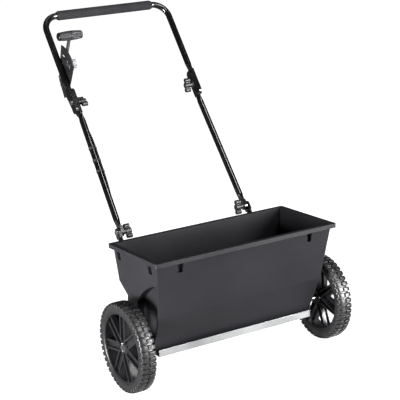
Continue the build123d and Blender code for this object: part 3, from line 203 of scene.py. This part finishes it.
def turned(name, middle, x, radius, angles, ring, slot, body, stands_for):
    """Closed piece from x and radius over (angle, section). A ring's section closes on itself."""
    around, along = radius.shape
    points = np.stack([
        middle[0] + np.broadcast_to(x, radius.shape),
        middle[1] + radius * np.sin(angles)[:, None],
        middle[2] + radius * np.cos(angles)[:, None],
    ], axis=-1).reshape(-1, 3)
    i, j = np.meshgrid(np.arange(around), np.arange(along if ring else along - 1), indexing="ij")
    i, j = i.ravel(), j.ravel()
    next_i, next_j = (i + 1) % around, (j + 1) % along
    corners = [i * along + j, next_i * along + j, next_i * along + next_j, i * along + next_j]
    mesh = bpy.data.meshes.new(name)
    mesh.from_pydata(points.tolist(), [], np.stack(corners, axis=1).tolist())
    tidy = bmesh.new()
    tidy.from_mesh(mesh)
    bmesh.ops.remove_doubles(tidy, verts=tidy.verts, dist=1e-6)
    bmesh.ops.recalc_face_normals(tidy, faces=tidy.faces)
    tidy.to_mesh(mesh)
    tidy.free()
    mesh.materials.append(finishes[slot])
    mesh.polygons.foreach_set("use_smooth", np.ones(len(mesh.polygons), bool))
    piece = bpy.data.objects.new(name, mesh)
    bpy.context.scene.collection.objects.link(piece)
    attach(piece, body)
    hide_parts(stands_for)
    print(name, len(mesh.polygons), "faces")
    return piece


# %% [markdown]
# ## Tyres
# Each tyre has two rows of block lugs, and one row runs a little ahead of the other. The section
# below is the carcass from bead to bead. A lug lifts the carcass to the outer radius between
# 16 % and 84 % of its pitch, and the groove between the rows is 3 mm wide. Extra samples stand
# close to each lug's ends, so that its walls are steep and its corners stay crisp.

# %%
LUG_COUNT = 46
LUG_SPAN = (0.16, 0.84)
ROW_OFFSET = 0.12
GROOVE_HALF_MM = 1.5
CARCASS_MM = [
    (18.4, 100.1), (19.7, 100.9), (20.4, 102.6), (20.5, 104.0), (20.9, 104.6), (21.3, 107.5), (21.4, 110.5),
    (21.3, 112.8), (21.1, 113.6), (20.9, 114.4), (20.2, 116.0), (19.0, 117.5), (17.5, 118.5), (15.5, 119.3),
    (12.5, 120.0), (9.5, 120.5), (6.5, 120.8), (3.5, 121.0), (2.2, 121.0), (1.7, 121.0), (1.3, 121.0),
    (0.8, 121.0),
]


def tyre(name, cad_node, body):
    """Tyre with staggered block lugs in the place of the plain CAD ring."""
    low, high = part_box(cad_node)
    middle = (low + high) / 2
    outer = (high.z - low.z) / 2
    side = np.array(CARCASS_MM) * MM
    section = np.concatenate([side * [-1, 1], side[::-1]])
    x, base = section[:, 0], section[:, 1]
    edges = np.concatenate([LUG_SPAN, np.array(LUG_SPAN) - ROW_OFFSET])
    near = (edges[:, None] + np.array([-0.024, -0.008, 0.008, 0.024])).ravel()
    pitch = np.sort(np.concatenate([near, [0.0, 0.06, 0.22, 0.28, 0.45, 0.5, 0.55, 0.72, 0.78, 0.94]]))
    turns = (np.arange(LUG_COUNT)[:, None] + pitch).ravel() / LUG_COUNT
    phase = (turns * LUG_COUNT)[:, None] % 1.0
    phase = np.where(x[None, :] > 0, (phase + ROW_OFFSET) % 1.0, phase)
    lug = ease(phase, LUG_SPAN[0] - 0.014, LUG_SPAN[0] + 0.014)
    lug *= 1 - ease(phase, LUG_SPAN[1] - 0.014, LUG_SPAN[1] + 0.014)
    lug = lug * ease(np.abs(x), (GROOVE_HALF_MM - 0.5) * MM, (GROOVE_HALF_MM + 0.5) * MM)
    lug = lug * ease(base, 112.9 * MM, 114.3 * MM)
    crown = outer - 2.4 * MM * ease(np.abs(x), 13 * MM, 21.5 * MM)
    radius = base + (crown - base) * lug
    turned(name, middle, x, radius, turns * 2 * np.pi, True, "tyre", body, cad_node)


tyre("lugged_tyre_left", "tyre_left", "left_wheel")
tyre("lugged_tyre_right", "tyre_right", "drive")

# %% [markdown]
# ## Foam hand grip
# The foam sleeve has shallow flutes that run along the bar. The radius is lowered by up to 0.9 mm
# times the square of one less the rectified sine of the angle. A 4 mm neck at each end is where
# the sleeve is squeezed on to the tube.

# %%
FLUTES_ROUND_GRIP = 22


def hand_grip():
    """Fluted foam sleeve round the top bar."""
    low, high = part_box("foam_grip")
    middle, half = (low + high) / 2, (high.x - low.x) / 2
    outer = (high.z - low.z) / 2
    bore = 9.6 * MM
    ends = np.array([0.0, 0.6, 3.4, 4.0, 4.3, 5.2, 7.0, 12.0]) * MM
    levels = np.array([-2.9, -2.3, -2.3, -2.2, -1.0, -0.35, 0.0, 0.0]) * MM
    x = np.concatenate([-half + ends, [0.0], half - ends[::-1], [half, -half]])
    level = np.concatenate([outer + levels, [outer], outer + levels[::-1], [bore, bore]])
    angles = np.arange(FLUTES_ROUND_GRIP * 10) * 2 * np.pi / (FLUTES_ROUND_GRIP * 10)
    flute = 1 - np.abs(np.sin(angles * FLUTES_ROUND_GRIP / 2))
    depth = 0.9 * MM * ease(level, outer - 1.5 * MM, outer)
    radius = level[None, :] - flute[:, None] ** 2 * depth[None, :]
    turned("fluted_hand_grip", middle, x, radius, angles, True, "grip_foam", "upper_handle", "foam_grip")


hand_grip()

# %% [markdown]
# ## Grip of the flow lever
# The T-shaped grip is a barrel in two halves, thickest at the stem. The inboard half has deep
# flutes and the outboard half has shallow ones and ends in a black cap. The flutes fade out
# before the seam and before the rounded ends.

# %%
def lever_grip(name, cad_node, sign, flute_mm, cap_mm):
    """One half of the barrel. sign is -1 outboard and +1 inboard of the seam."""
    low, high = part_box(cad_node)
    length = high.x - low.x
    outer = 14.5 * MM
    seam = high.x if sign < 0 else low.x
    middle = Vector((seam, (low.y + high.y) / 2, (low.z + high.z) / 2))
    out = np.array([0, 0, 0.4, 1.0, 2.2, 3.5, 6, 10, 14, 18, 22, 26, 30, 33, 35, 36.6, 37.8, 38.6, 39, 39]) * MM
    out *= length / (39 * MM)
    shape = np.array([
        0, 13.6, 14.0, 14.4, 14.5, 14.5, 14.4, 14.3, 14.1, 13.8, 13.5, 13.1, 12.7, 12.4, 12.1, 11.6,
        10.8, 9.6, 8.0, 0,
    ]) * MM
    angles = np.arange(168) * 2 * np.pi / 168
    fade = ease(out, 3 * MM, 6 * MM) * (1 - ease(out, 30 * MM, 34 * MM))
    flute = (0.5 - 0.5 * np.cos(angles * 14)) ** 0.6
    radius = shape[None, :] - flute_mm * MM * flute[:, None] * fade[None, :]
    radius = np.minimum(radius, outer)
    piece = turned(
        name, middle, sign * out, radius, angles, False, "lever_grip_plastic", "lever", cad_node
    )
    piece.data.materials.append(cap_black)
    centres = np.zeros(len(piece.data.polygons) * 3)
    piece.data.polygons.foreach_get("center", centres)
    beyond = np.abs(centres.reshape(-1, 3)[:, 0] - seam) > length - cap_mm * MM
    piece.data.polygons.foreach_set("material_index", beyond.astype(int))


lever_grip("fluted_grip_left", "lever_grip_left", -1, 0.5, 6.5)
lever_grip("fluted_grip_right", "lever_grip_right", 1, 1.5, 0.0)

# %% [markdown]
# ## Control cable
# The cable's sheath follows the same points as in the CAD, which keep it clear of the
# tubes. It is made in two lengths that meet at the clip beside the left lower tube.

# %%
UPPER_ROUTE_MM = [
    (-193.5, 274.7, 729.1), (-193.5, 260.8, 709.5), (-192.0, 233.7, 691.9), (-191.5, 196.6, 674.0),
    (-191.8, 159.7, 651.1), (-192.8, 129.0, 621.4), (-193.7, 106.3, 588.4), (-194.5, 86.1, 559.8),
]
LOWER_ROUTE_MM = [
    (-194.5, 86.1, 559.8), (-195.5, 61.3, 524.7), (-196.4, 41.6, 487.2), (-196.5, 28.0, 445.4),
    (-197.0, 16.1, 402.4), (-196.0, -2.7, 361.9), (-192.0, -27.6, 323.1), (-188.0, -56.9, 285.0),
    (-186.0, -70.4, 236.0), (-186.0, -80.4, 190.0), (-186.5, -76.4, 138.0), (-187.5, -94.4, 112.0),
    (-188.0, -117.4, 104.0), (-188.0, -131.4, 104.0),
]


def sheath(name, route_mm, cad_node):
    """Round sheath along listed points, as one mesh."""
    curve = bpy.data.curves.new(name, "CURVE")
    curve.dimensions = "3D"
    curve.bevel_depth = 2.5 * MM
    curve.bevel_resolution = 4
    curve.use_fill_caps = True
    line = curve.splines.new("NURBS")
    line.points.add(len(route_mm) - 1)
    for point, (x, y, z) in zip(line.points, route_mm):
        point.co = (x * MM, y * MM, z * MM, 1.0)
    line.order_u = 3
    line.use_endpoint_u = True
    line.resolution_u = 14
    drawn = bpy.data.objects.new(name, curve)
    bpy.context.scene.collection.objects.link(drawn)
    seen = drawn.evaluated_get(bpy.context.evaluated_depsgraph_get())
    mesh = bpy.data.meshes.new_from_object(seen)
    bpy.data.objects.remove(drawn)
    mesh.materials.append(finishes["cable_sheath"])
    mesh.polygons.foreach_set("use_smooth", np.ones(len(mesh.polygons), bool))
    piece = bpy.data.objects.new(name + "_sheath", mesh)
    bpy.context.scene.collection.objects.link(piece)
    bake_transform(piece)
    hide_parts(cad_node)
    print(piece.name, len(mesh.polygons), "faces")


sheath("cable_upper", UPPER_ROUTE_MM,
       "cable_upper")
sheath("cable_lower", LOWER_ROUTE_MM,
       "cable_lower")

# %% [markdown]
# ## Studio
# A pale floor, soft boxes to the left and above, and a bright backdrop that only the camera
# sees. A tall strip light to the right front draws the highlights on the lugs, and one high in
# front draws the long highlights on the leaning tubes. The
# camera stands in front and to the left with a long lens, tipped a little sideways.

# %%
def soft_box(name, place, target, width, height, power):
    """Rectangular area light that faces a target."""
    light = bpy.data.lights.new(name, "AREA")
    light.shape = "RECTANGLE"
    light.size = width
    light.size_y = height
    light.energy = power
    holder = bpy.data.objects.new(name, light)
    holder.location = place
    holder.rotation_mode = "QUATERNION"
    holder.rotation_quaternion = (Vector(target) - Vector(place)).to_track_quat("-Z", "Y")
    bpy.context.scene.collection.objects.link(holder)


soft_box("right front strip", (2.1, -3.1, 0.9), (0, 0, 0.4), 0.7, 2.6, 350)
soft_box("left box", (-3.2, -0.9, 0.32), (0, 0, 0.3), 1.4, 0.8, 380)
soft_box("front top strip", (1.2, -2.5, 3.4), (0, 0.1, 0.5), 0.5, 1.6, 65)
soft_box("top box", (0.2, 0.4, 4.0), (0, 0, 0), 2.4, 2.4, 12)

scene = bpy.context.scene
scene.view_settings.view_transform = "Standard"
world = bpy.data.worlds.new("studio")
scene.world = world
world.use_nodes = True
sky = world.node_tree
surround = sky.nodes["Background"]
surround.inputs["Color"].default_value = linear("ffffff")
surround.inputs["Strength"].default_value = 0.05
backdrop = add(sky, "ShaderNodeBackground", Color=linear("ffffff"), Strength=1.0)
seen_by = add(sky, "ShaderNodeLightPath")
choice = add(sky, "ShaderNodeMixShader")
sky.links.new(seen_by.outputs["Is Camera Ray"], choice.inputs["Fac"])
sky.links.new(surround.outputs["Background"], choice.inputs[1])
sky.links.new(backdrop.outputs["Background"], choice.inputs[2])
sky.links.new(choice.outputs["Shader"], sky.nodes["World Output"].inputs["Surface"])

floor_mesh = bpy.data.meshes.new("floor")
reach = 14.0
floor_mesh.from_pydata(
    [(-reach, -reach, -0.0005), (reach, -reach, -0.0005), (reach, reach, -0.0005), (-reach, reach, -0.0005)],
    [], [(0, 1, 2, 3)],
)
# The paper glows for the camera only, so it looks white without lighting the machine from below.
paper = finish("pale floor paper", "a6a6a6", "aeaeae", 0.8, 900, 40, 0.05, Emission_Color=linear("ffffff"))
glow = add(paper.node_tree, "ShaderNodeMapRange")
glow.inputs["To Max"].default_value = 1.0
seen = add(paper.node_tree, "ShaderNodeLightPath")
coat = paper.node_tree.nodes["Principled BSDF"]
paper.node_tree.links.new(seen.outputs["Is Camera Ray"], glow.inputs["Value"])
paper.node_tree.links.new(glow.outputs["Result"], coat.inputs["Emission Strength"])
floor_mesh.materials.append(paper)
floor = bpy.data.objects.new("floor", floor_mesh)
scene.collection.objects.link(floor)

# %% [markdown]
# The camera's place is found from its heading, its height angle and its distance to a target
# point, and its roll turns it about its own line of sight.

# %%
AZIMUTH, ELEVATION, ROLL = (math.radians(v) for v in (-30.42, 14.10, -3.55))
DISTANCE = 3.5828
back = Vector((
    math.sin(AZIMUTH) * math.cos(ELEVATION), -math.cos(AZIMUTH) * math.cos(ELEVATION), math.sin(ELEVATION)
))
right = Vector((math.cos(AZIMUTH), math.sin(AZIMUTH), 0.0))
up = back.cross(right)
target = Vector((0.0, -0.25343, 0.48922)) - 0.05344 * right
camera_data = bpy.data.cameras.new("camera")
camera_data.lens = 115.83
camera_data.sensor_width = 36.0
camera_data.shift_x = -0.0045
camera_data.shift_y = -0.0040
camera = bpy.data.objects.new("camera", camera_data)
camera.location = target + DISTANCE * back
tipped_right = right * math.cos(ROLL) + up * math.sin(ROLL)
tipped_up = up * math.cos(ROLL) - right * math.sin(ROLL)
camera.matrix_world = Matrix((
    (tipped_right.x, tipped_up.x, back.x, camera.location.x),
    (tipped_right.y, tipped_up.y, back.y, camera.location.y),
    (tipped_right.z, tipped_up.z, back.z, camera.location.z),
    (0.0, 0.0, 0.0, 1.0),
))
scene.collection.objects.link(camera)
scene.camera = camera
print("camera at", [round(v, 3) for v in camera.location])
